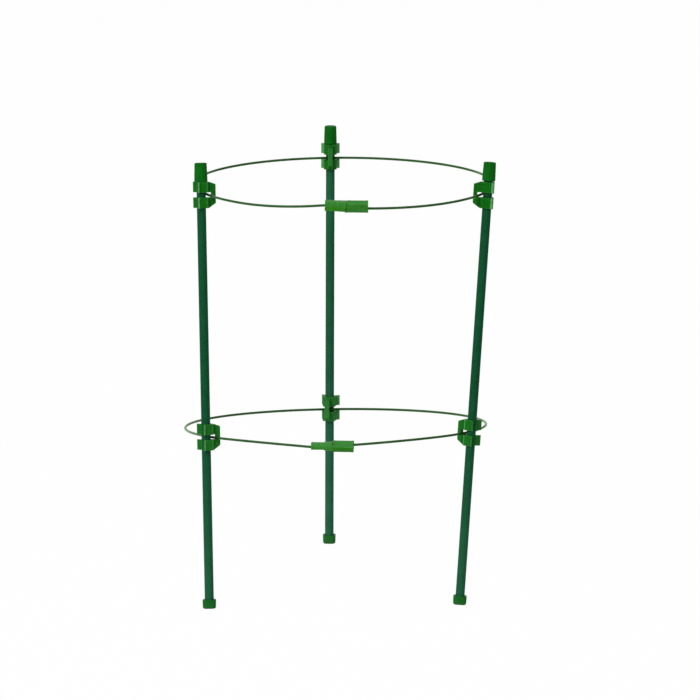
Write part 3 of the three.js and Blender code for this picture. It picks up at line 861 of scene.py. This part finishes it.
def feed(tree, made, inputs):
    """Links or sets the inputs of a node."""
    for key, value in inputs.items():
        if isinstance(value, bpy.types.NodeSocket):
            tree.links.new(value, made.inputs[key])
        else:
            made.inputs[key].default_value = value


def node(tree, kind, inputs=None, **values):
    """The outputs of a new node."""
    made = tree.nodes.new(kind)
    for key, value in values.items():
        setattr(made, key, value)
    feed(tree, made, inputs or {})
    return made.outputs


def maths(tree, operation, first, second, clamped=False):
    return node(tree, "ShaderNodeMath", {0: first, 1: second}, operation=operation,
                use_clamp=clamped)["Value"]


def vectors(tree, operation, first, second):
    return node(tree, "ShaderNodeVectorMath", {0: first, 1: second}, operation=operation)


def ranged(tree, value, low, high, to_low=0.0, to_high=1.0):
    return node(tree, "ShaderNodeMapRange", {
        "Value": value, "From Min": low, "From Max": high, "To Min": to_low, "To Max": to_high,
    })["Result"]


def noise(tree, at, scale, detail, roughness=0.5):
    return node(tree, "ShaderNodeTexNoise", {
        "Vector": at, "Scale": scale, "Detail": detail, "Roughness": roughness,
    })["Fac"]


def spot(tree, kind="Object"):
    return node(tree, "ShaderNodeTexCoord")[kind]


def parted(tree, vector):
    return node(tree, "ShaderNodeSeparateXYZ", {"Vector": vector})


def blended(tree, mask, below, above):
    """The colour below, covered by the colour above as far as the mask says."""
    return node(tree, "ShaderNodeMix", {"Factor": mask, "A": below, "B": above},
                data_type="RGBA")["Result"]


def group(name, inputs, *results):
    """An empty shader node group, its inputs and its end node. An input is a float or a colour,
    as its default is. A result is a float, unless its name is Colour."""
    tree = bpy.data.node_groups.new(name, "ShaderNodeTree")
    for label, default in inputs.items():
        kind = "NodeSocketFloat" if isinstance(default, float) else "NodeSocketColor"
        socket = tree.interface.new_socket(label, in_out="INPUT", socket_type=kind)
        socket.default_value = default
    for label in results:
        kind = "NodeSocketColor" if label == "Colour" else "NodeSocketFloat"
        tree.interface.new_socket(label, in_out="OUTPUT", socket_type=kind)
    return tree, node(tree, "NodeGroupInput"), tree.nodes.new("NodeGroupOutput")


def mottle_group(name):
    """Soft cloudy change between three shades of one plastic."""
    tree, given, end = group(name, {
        "Colour": (0.1, 0.1, 0.1, 1), "Deep Colour": (0.05, 0.05, 0.05, 1),
        "Light Colour": (0.2, 0.2, 0.2, 1), "Scale": 90.0, "Amount": 0.5,
    }, "Colour", "Cloud")
    cloud = noise(tree, spot(tree), given["Scale"], 5.0, 0.6)
    deep = ranged(tree, cloud, 0.5, 0.32, 0.0, given["Amount"])
    light = ranged(tree, cloud, 0.52, 0.72, 0.0, given["Amount"])
    shown = blended(tree, deep, given["Colour"], given["Deep Colour"])
    shown = blended(tree, light, shown, given["Light Colour"])
    feed(tree, end, {"Colour": shown, "Cloud": cloud})
    return tree


def streak_group(name):
    """Fine marks drawn along a piece, from its UV map."""
    tree, given, end = group(
        name, {"Fineness": 900.0, "Stretch": 30.0, "Contrast": 1.0}, "Streak")
    along = maths(tree, "DIVIDE", given["Fineness"], given["Stretch"])
    size = node(tree, "ShaderNodeCombineXYZ", {"X": given["Fineness"], "Y": along, "Z": 1.0})
    at = vectors(tree, "MULTIPLY", spot(tree, "UV"), size["Vector"])["Vector"]
    centred = maths(tree, "SUBTRACT", noise(tree, at, 1.0, 3.0, 0.55), 0.5)
    spread = maths(tree, "MULTIPLY", centred, given["Contrast"])
    feed(tree, end, {"Streak": maths(tree, "ADD", spread, 0.5, clamped=True)})
    return tree


def edge_group(name):
    """Finds rounded edges for painted edge highlights: where the normal over a small radius leaves the true one.
    """
    tree, given, end = group(
        name, {"Radius": 0.0008, "Strength": 1.0, "Breakup": 0.35}, "Mask")
    soft = node(tree, "ShaderNodeBevel", {"Radius": given["Radius"]}, samples=6)["Normal"]
    true = node(tree, "ShaderNodeNewGeometry")["Normal"]
    found = ranged(tree, vectors(tree, "DOT_PRODUCT", soft, true)["Value"], 0.995, 0.9)
    patch = maths(tree, "MULTIPLY", noise(tree, spot(tree), 420.0, 3.0), given["Breakup"])
    broken = maths(tree, "MULTIPLY", found, maths(tree, "SUBTRACT", 1.0, patch))
    feed(tree, end, {"Mask": maths(tree, "MULTIPLY", broken, given["Strength"], clamped=True)})
    return tree


def dust_group(name):
    """Soil dust that thins out with height over the ground."""
    tree, given, end = group(name, {"Reach": 0.012, "Amount": 0.3}, "Mask")
    fall = ranged(tree, parted(tree, spot(tree))["Z"], 0.0, given["Reach"], 1.0, 0.0)
    speck = ranged(tree, noise(tree, spot(tree), 700.0, 6.0, 0.7), 0.42, 0.68)
    both = maths(tree, "MULTIPLY", fall, speck)
    feed(tree, end, {"Mask": maths(tree, "MULTIPLY", both, given["Amount"], clamped=True)})
    return tree


def painted_light_group(name):
    """Paler plastic: a painted sheen towards the back and on faces that look right, up or down,
    and plain paling towards the bottom."""
    tree, given, end = group(
        name, {"Low": 0.0, "Back": 0.0, "Right": 0.0, "Up": 0.0, "Down": 0.0}, "Mask")
    at = parted(tree, spot(tree))
    facing = parted(tree, spot(tree, "Normal"))
    total = 0.0
    # Back, Right, Up and Down paint light: a sheen, highlights and a reflection of the floor; Low only pales
    # towards the bottom
    for label, value, none, full in (
        ("Low", at["Z"], 0.22, 0.0),
        ("Back", at["Y"], 0.0, 0.15),
        ("Right", facing["X"], 0.3, 0.8),
        ("Up", facing["Z"], -0.17, 0.17),
        ("Down", facing["Z"], -0.3, -0.9),
    ):
        total = maths(tree, "ADD", total, ranged(tree, value, none, full, 0.0, given[label]))
    patchy = ranged(tree, noise(tree, spot(tree), 45.0, 4.0), 0.3, 0.7, 0.75, 1.25)
    feed(tree, end, {"Mask": maths(tree, "MULTIPLY", total, patchy, clamped=True)})
    return tree


def grain_group(name):
    """Height of a fine moulded skin, with shallow dents."""
    tree, given, end = group(name, {"Scale": 2600.0, "Dents": 0.4}, "Height")
    fine = noise(tree, spot(tree), given["Scale"], 2.0)
    dents = maths(tree, "MULTIPLY", noise(tree, spot(tree), 260.0, 2.0), given["Dents"])
    feed(tree, end, {"Height": maths(tree, "ADD", fine, dents)})
    return tree


GROUPS = {
    "Moulded Mottle": mottle_group,
    "Drawn Streaks": streak_group,
    "Lit Edges": edge_group,
    "Ground Dust": dust_group,
    "Sun Bleach": painted_light_group,
    "Skin Grain": grain_group,
}


def shared(tree, name, inputs):
    """The outputs of a shared group, which is built on its first use."""
    built = bpy.data.node_groups.get(name) or GROUPS[name](name)
    return node(tree, "ShaderNodeGroup", inputs, node_tree=built)


# Materials

def new_finish(name):
    material = bpy.data.materials.new(name)
    material.use_nodes = True
    return material, material.node_tree


def tinted(tree, rgb, deep, light, scale, amount):
    """The mottled colour of a finish, and the cloud that mottles it."""
    base, deeper, lighter = (
        (*(min(1, channel * factor) for channel in rgb), 1) for factor in (1, deep, light)
    )
    tint = shared(tree, "Moulded Mottle", {
        "Colour": base, "Deep Colour": deeper, "Light Colour": lighter,
        "Scale": scale, "Amount": amount,
    })
    return tint["Colour"], tint["Cloud"]


def finish_off(tree, shown, rough, grain, relief, constants):
    """Feeds the shader its colour, roughness and grain, and its own constant values."""
    height = shared(tree, "Skin Grain", grain)["Height"]
    bump = node(tree, "ShaderNodeBump", {"Height": height, **relief})
    feed(tree, tree.nodes["Principled BSDF"], {
        "Base Color": shown, "Roughness": rough, "Normal": bump["Normal"], **constants,
    })


def plastic(name, rgb, roughness, mottle, streak=None, painted_sheen=None, edge=None, highlight_colour=None,
            rim=None, kept=None, dust=None, relief=0.00002, coat=0.0, specular=0.02):
    """A moulded or drawn plastic. Streaks are (strength, fineness); the paling, edge and dust
    settings are (amount, colour): a painted sheen, painted edge highlights and real dust. The two
    mark colours are painted highlights and painted shade under a mesh's marks; rim is the colour
    of a painted sheen seen at a glancing angle. Each covers those before it."""
    material, tree = new_finish(name)
    shown, cloud = tinted(tree, rgb, deep=0.7, light=1.35, scale=85.0, amount=mottle)
    rough = ranged(tree, cloud, 0.3, 0.7, roughness - 0.06, roughness + 0.06)
    if streak:
        strength, fineness = streak
        lines = shared(tree, "Drawn Streaks", {
            "Fineness": fineness, "Stretch": 40.0, "Contrast": 1.6,
        })
        level = ranged(tree, lines["Streak"], 0.0, 1.0, 1 - strength, 1 + strength)
        shown = vectors(tree, "MULTIPLY", shown, level)["Vector"]
        rough = maths(tree, "MULTIPLY", rough, level)
    layers = []
    # The paling is a painted sheen, with plain paling towards the bottom
    if painted_sheen:
        layers.append((shared(tree, "Sun Bleach", painted_sheen[0])["Mask"], painted_sheen[1]))
    # The edge colour is a painted highlight along rounded edges
    if edge:
        edge_highlight = shared(tree, "Lit Edges", {"Radius": 0.0011, "Strength": edge[0], "Breakup": 0.35})
        layers.append((edge_highlight["Mask"], edge[1]))
    # The highlight colour is a painted highlight, laid where the mesh's marks say
    if highlight_colour:
        marks = node(tree, "ShaderNodeAttribute", attribute_name=HIGHLIGHT_MARK)
        layers.append((marks["Fac"], highlight_colour))
    # The rim colour is a painted sheen at glancing angles
    if rim:
        facing = node(tree, "ShaderNodeLayerWeight", {"Blend": 0.5})["Facing"]
        layers.append((ranged(tree, facing, 0.48, 1.0, 0.0, 0.8), rim))
    # The mark colour is painted shade, laid where the mesh's marks say
    if kept:
        marks = node(tree, "ShaderNodeAttribute", attribute_name=SHADE_MARK)
        layers.append((marks["Fac"], kept))
    if dust:
        soil = shared(tree, "Ground Dust", {"Reach": 0.012, "Amount": dust[0]})
        layers.append((soil["Mask"], dust[1]))
    for mask, above in layers:
        shown = blended(tree, mask, shown, (*above, 1))
    finish_off(
        tree, shown, rough, {"Scale": 2600.0, "Dents": 0.6},
        {"Strength": 0.35, "Distance": relief},
        {"Specular IOR Level": specular, "Coat Weight": coat, "Coat Roughness": 0.25},
    )
    return material


def steel(name, rgb):
    """Drawn steel of the hidden tubes."""
    material, tree = new_finish(name)
    shown, cloud = tinted(tree, rgb, deep=0.6, light=1.3, scale=60.0, amount=0.6)
    finish_off(
        tree, shown, ranged(tree, cloud, 0.0, 1.0, 0.28, 0.5), {"Scale": 3200.0, "Dents": 0.3},
        {"Strength": 0.3, "Distance": 0.00002}, {"Metallic": 1.0},
    )
    return material


# Operators

class PLANTSUPPORT_OT_stakes(bpy.types.Operator):
    """Builds the smooth plastic coats of the stakes and finishes the steel tubes inside"""
    bl_idname = "plant_support.stakes"
    bl_label = "Build Stakes"

    def execute(self, context):
        settings = context.scene.plant_support
        # The stake coat is paler towards the bottom and has a painted sheen towards the back
        coat = plastic("Stake Coat", settings.finish.coat_colour, roughness=0.4, mottle=0.35,
                       streak=(0.07, 1500.0), relief=0.00003, specular=0.03,
                       painted_sheen=({"Low": 0.36, "Back": 0.28}, (0.04, 0.2, 0.1)))
        tube = steel("Tube Steel", settings.finish.steel_colour)
        loops = coat_loops(settings.stakes, settings.caps)
        for side in SIDES:
            mesh = reworked(skin_mesh(f"{side} coat", loops, stake_matrix(side)), open_bore)
            add_piece(f"{side}_coat_smooth", mesh, coat, f"{side}_stake_coat")
            slots = frame["nodes"][f"{side}_stake_tube"].data.materials
            slots.clear()
            slots.append(tube)
        return {"FINISHED"}


class PLANTSUPPORT_OT_caps(bpy.types.Operator):
    """Builds the ribbed top caps and the squarish foot caps"""
    bl_idname = "plant_support.caps"
    bl_label = "Build Caps"

    def execute(self, context):
        settings = context.scene.plant_support
        stakes, caps, finish = settings.stakes, settings.caps, settings.finish
        # The top caps get painted edge highlights; the foot caps get a painted sheen towards the back, painted
        # edge highlights and real soil dust
        top = plastic("Top Cap Plastic", finish.cap_colour, roughness=0.4, mottle=0.5,
                      streak=(0.12, 1100.0), edge=(0.35, (0.03, 0.22, 0.03)))
        foot = plastic("Foot Cap Plastic", finish.foot_colour, roughness=0.42, mottle=0.5,
                       painted_sheen=({"Back": 0.1}, (0.07, 0.36, 0.08)),
                       edge=(0.3, (0.04, 0.24, 0.05)), dust=(0.25, finish.dust_colour))
        for side in SIDES:
            for cap, loops, material, sharp_degrees in (
                ("top_cap", top_cap_loops(stakes, caps, GATE_TURNS[side]), top, 50),
                ("foot_cap", foot_cap_loops(stakes, caps), foot, 38),
            ):
                name = f"{side}_{cap}"
                mesh = skin_mesh(name, loops, stake_matrix(side))
                add_piece(f"{name}_moulded", mesh, material, name, sharp_degrees)
        return {"FINISHED"}


class PLANTSUPPORT_OT_clips(bpy.types.Operator):
    """Builds the six clips with rounded edges"""
    bl_idname = "plant_support.clips"
    bl_label = "Build Clips"

    def execute(self, context):
        settings = context.scene.plant_support
        # The clips are paler lower down, with a painted sheen towards the back and on faces that look right,
        # painted edge highlights, and painted highlights under their marks
        lit = {"Low": 0.6, "Back": 0.08, "Right": 0.25}
        material = plastic("Clip Plastic", settings.finish.clip_colour, roughness=0.36,
                           mottle=0.6, painted_sheen=(lit, (0.07, 0.36, 0.08)),
                           edge=(0.6, (0.085, 0.37, 0.075)), highlight_colour=(0.4, 1.0, 0.42))
        pattern = clip_mesh(settings.stakes, settings.clips)
        for ring in RINGS:
            for side in SIDES:
                mesh = pattern.copy()
                mark_painted_highlights(mesh, settings.clips, HIGHLIGHT_STRENGTHS[ring, side])
                mesh.transform(clip_matrix(ring, side, settings.clips))
                name = f"{ring}_{side}_clip"
                add_piece(f"{name}_moulded", mesh, material, name)
        return {"FINISHED"}


class PLANTSUPPORT_OT_rings(bpy.types.Operator):
    """Builds the two smooth wire rings"""
    bl_idname = "plant_support.rings"
    bl_label = "Build Rings"

    def execute(self, context):
        settings = context.scene.plant_support
        rings, joiners = settings.rings, settings.joiners
        # The wire gets painted shade where it runs through the clips, and a pale painted sheen at glancing angles
        material = plastic("Wire Coat", settings.finish.wire_colour, roughness=0.5,
                           mottle=0.6, streak=(0.12, 2500.0), rim=(0.62, 0.82, 0.54),
                           kept=(0.008, 0.075, 0.008), specular=0.01)
        for ring in RINGS:
            path = RingLayout(ring, rings, joiners).wire_path(rings, joiners)
            loops = wire_loops(path, rings.wire_diameter, rings.sides)
            mesh = skin_mesh(f"{ring} wire", loops, ring_matrix(ring))
            mark_clip_shade(mesh, rings)
            add_piece(f"{ring}_ring_wire", mesh, material, f"{ring}_hoop",
                      sharp_degrees=60)
        return {"FINISHED"}


class PLANTSUPPORT_OT_joiners(bpy.types.Operator):
    """Builds the plug and socket halves that close each ring"""
    bl_idname = "plant_support.joiners"
    bl_label = "Build Joiners"

    def execute(self, context):
        settings = context.scene.plant_support
        stakes, rings, joiners = settings.stakes, settings.rings, settings.joiners
        # The joiners get a painted highlight on faces that look up, a painted floor reflection on faces that look
        # down, painted edge highlights and painted shade in the parting groove
        material = plastic("Joiner Plastic", settings.finish.joiner_colour, roughness=0.34,
                           mottle=0.5, painted_sheen=({"Up": 0.3, "Down": 0.35}, (0.12, 0.42, 0.14)),
                           edge=(0.8, (0.15, 0.5, 0.09)), kept=(0.008, 0.07, 0.006), coat=0.05)
        for ring in RINGS:
            at = RingLayout(ring, rings, joiners)
            for half, half_loops, origin, direction, roll in (
                ("plug", plug_loops, at.plug_end, at.axis, at.plug_roll),
                ("socket", socket_loops, at.far_end, -at.socket_axis, at.socket_roll),
            ):
                matrix = at.half_matrix(origin, direction, roll)
                loops = half_loops(stakes, rings, joiners, at, matrix)
                mesh = skin_mesh(f"{ring} {half}", loops, ring_matrix(ring) @ matrix)
                mark_parting_shade(mesh, getattr(joiners, f"{ring}_groove_shade"))
                add_piece(f"{ring}_{half}_moulded", mesh, material,
                          f"{ring}_joiner_{half}")
        return {"FINISHED"}


class PLANTSUPPORT_OT_stage(bpy.types.Operator):
    """Sets up the floor, the light and the camera"""
    bl_idname = "plant_support.stage"
    bl_label = "Build Stage"

    def execute(self, context):
        scene = context.scene
        stage = scene.plant_support.stage
        self.floor(stage)
        self.sky(scene, stage)
        for lamp in LAMPS:
            self.lamp(*lamp)
        self.camera(scene, stage)
        scene.view_settings.view_transform = "Standard"
        return {"FINISHED"}

    def seen(self, tree):
        """1 on rays from the camera: straight, in a reflection or through something clear."""
        rays = node(tree, "ShaderNodeLightPath")
        shine = maths(tree, "MAXIMUM", rays["Is Camera Ray"], rays["Is Glossy Ray"])
        return maths(tree, "MAXIMUM", shine, rays["Is Transmission Ray"])

    def show(self, tree, end, share, true, white):
        """Ends a tree in its true shader, with plain white over it as far as the share says."""
        mix = node(tree, "ShaderNodeMixShader", {0: share, 1: true, 2: white})
        node(tree, end, {"Surface": mix["Shader"]})

    def floor(self, stage):
        half = stage.floor_size / 2
        mesh = bpy.data.meshes.new("Floor")
        corners = [(-half, -half, 0), (half, -half, 0), (half, half, 0), (-half, half, 0)]
        mesh.from_pydata(corners, [], [(0, 1, 2, 3)])
        material, tree = new_finish("Floor White")
        tree.nodes.clear()
        share = maths(tree, "MULTIPLY", self.seen(tree), stage.floor_glow)
        matt = node(tree, "ShaderNodeBsdfDiffuse", {"Color": (*stage.floor_colour, 1)})["BSDF"]
        glow = node(tree, "ShaderNodeEmission", {"Color": (1, 1, 1, 1), "Strength": 1.0})
        self.show(tree, "ShaderNodeOutputMaterial", share, matt, glow["Emission"])
        mesh.materials.append(material)
        put("Floor", mesh)

    def sky(self, scene, stage):
        scene.world = bpy.data.worlds.new("Studio")
        scene.world.use_nodes = True
        tree = scene.world.node_tree
        tree.nodes.clear()
        soft, white = (
            node(tree, "ShaderNodeBackground", {
                "Color": (1, 1, 1, 1), "Strength": strength,
            })["Background"]
            for strength in (stage.sky_strength, 1.0)
        )
        self.show(tree, "ShaderNodeOutputWorld", self.seen(tree), soft, white)

    def lamp(self, name, at, size, power, tint):
        data = bpy.data.lights.new(name, "AREA")
        data.color = tint
        data.shape = "DISK"
        data.size = size
        data.energy = power
        lamp = put(name, data)
        lamp.location = at
        lamp.rotation_euler = (LAMP_AIM - lamp.location).to_track_quat("-Z", "Y").to_euler()

    def camera(self, scene, stage):
        data = bpy.data.cameras.new("Camera")
        data.lens = stage.lens
        data.sensor_width = stage.sensor_width
        data.clip_start = 0.1
        data.clip_end = 200
        scene.camera = put("Camera", data)
        scene.camera.location = stage.camera_place
        scene.camera.rotation_euler = (math.pi / 2 - stage.camera_pitch, 0, 0)


class PLANTSUPPORT_PT_panel(bpy.types.Panel):
    """Buttons and sizes of the plant support"""
    bl_label = "Plant Support"
    bl_idname = "PLANTSUPPORT_PT_panel"
    bl_space_type = "VIEW_3D"
    bl_region_type = "UI"
    bl_category = "Plant Support"

    def draw(self, context):
        settings = context.scene.plant_support
        for key in ("stage", "stakes", "caps", "clips", "rings", "joiners", "finish"):
            box = self.layout.box()
            sizes = getattr(settings, key)
            if key == "finish":
                box.label(text="Colours")
            else:
                box.operator(f"plant_support.{key}")
            for size in sizes.__annotations__:
                box.prop(sizes, size)


CLASSES = (
    PlantSupportStakeSettings,
    PlantSupportCapSettings,
    PlantSupportClipSettings,
    PlantSupportRingSettings,
    PlantSupportJoinerSettings,
    PlantSupportFinishSettings,
    PlantSupportStageSettings,
    PlantSupportSettings,
    PLANTSUPPORT_OT_stage,
    PLANTSUPPORT_OT_stakes,
    PLANTSUPPORT_OT_caps,
    PLANTSUPPORT_OT_clips,
    PLANTSUPPORT_OT_rings,
    PLANTSUPPORT_OT_joiners,
    PLANTSUPPORT_PT_panel,
)


def register():
    for cls in CLASSES:
        bpy.utils.register_class(cls)
    bpy.types.Scene.plant_support = bpy.props.PointerProperty(type=PlantSupportSettings)


def unregister():
    del bpy.types.Scene.plant_support
    for cls in reversed(CLASSES):
        bpy.utils.unregister_class(cls)


def main():
    register()
    bpy.ops.plant_support.stage()
    bpy.ops.plant_support.stakes()
    bpy.ops.plant_support.caps()
    bpy.ops.plant_support.clips()
    bpy.ops.plant_support.rings()
    bpy.ops.plant_support.joiners()


if __name__ == "__main__":
    main()
